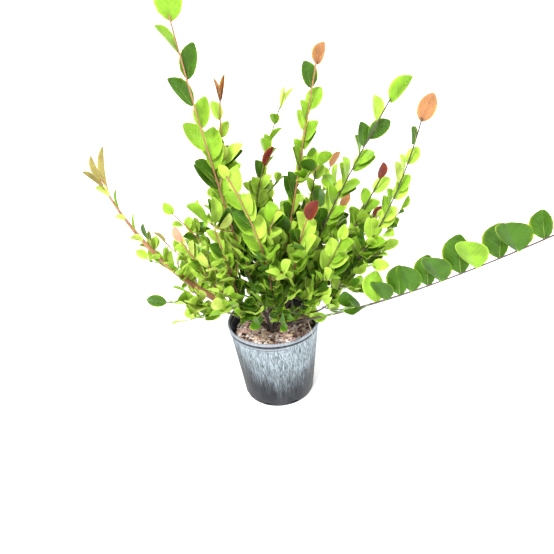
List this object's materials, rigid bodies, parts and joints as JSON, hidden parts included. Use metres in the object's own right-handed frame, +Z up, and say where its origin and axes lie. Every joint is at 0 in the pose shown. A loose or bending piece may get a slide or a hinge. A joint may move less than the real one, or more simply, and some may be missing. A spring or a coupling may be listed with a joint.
{
  "type": "potted coco plum shrub",
  "caption": "Bushy shrub with rounded glossy leaves on long upright and spreading shoots, in a round nursery pot filled with bark mulch.",
  "frame": {"origin": "centre of the pot's flat underside, on the ground", "axes": "+Z up, the plant's front is towards -Y and +X is to its right"},
  "size_m": [0.9107, 0.8386, 1.1311],
  "materials": {
    "pot_plastic": "weathered black plastic with a chalky bluish-white bloom",
    "bark_mulch": "loose reddish-brown bark mulch",
    "bark": "grey-brown bark, pinkish on young shoots",
    "leaves": "glossy green leaves with red and orange young tips"
  },
  "bodies": {
    "root": {"pot": "pot_plastic", "soil": "bark_mulch", "stem_left": "bark", "stem_low_left": "bark", "stem_tall": "bark", "stem_front_right": "bark", "stem_long_right": "bark", "stem_far_right": "bark", "stem_right": "bark", "stem_back_right": "bark", "stem_back_left": "bark", "stem_centre": "bark", "bough_left_inner": "bark", "bough_left_front": "bark", "bough_low_left": "bark", "bough_low_front_left": "bark", "bough_second_left": "bark", "bough_front": "bark", "bough_front_low": "bark", "bough_front_right": "bark", "bough_low_right": "bark", "bough_right_outer": "bark", "bough_right_inner": "bark", "bough_back_right_low": "bark", "bough_back": "bark", "bough_back_low": "bark", "bough_back_left_low": "bark", "bough_heart": "bark", "foliage_left": "leaves", "foliage_left_inner": "leaves", "foliage_left_front": "leaves", "foliage_low_left": "leaves", "foliage_low_left_upright": "leaves", "foliage_low_front_left": "leaves", "foliage_tall": "leaves", "foliage_second_left": "leaves", "foliage_front": "leaves", "foliage_front_low": "leaves", "foliage_front_right_low": "leaves", "foliage_front_right": "leaves", "foliage_long_right": "leaves", "foliage_low_right": "leaves", "foliage_far_right": "leaves", "foliage_right_outer": "leaves", "foliage_right": "leaves", "foliage_right_inner": "leaves", "foliage_centre": "leaves", "foliage_heart": "leaves", "foliage_back_right": "leaves", "foliage_back_right_low": "leaves", "foliage_back": "leaves", "foliage_back_low": "leaves", "foliage_back_left": "leaves", "foliage_back_left_low": "leaves"}
  },
  "joints": []
}
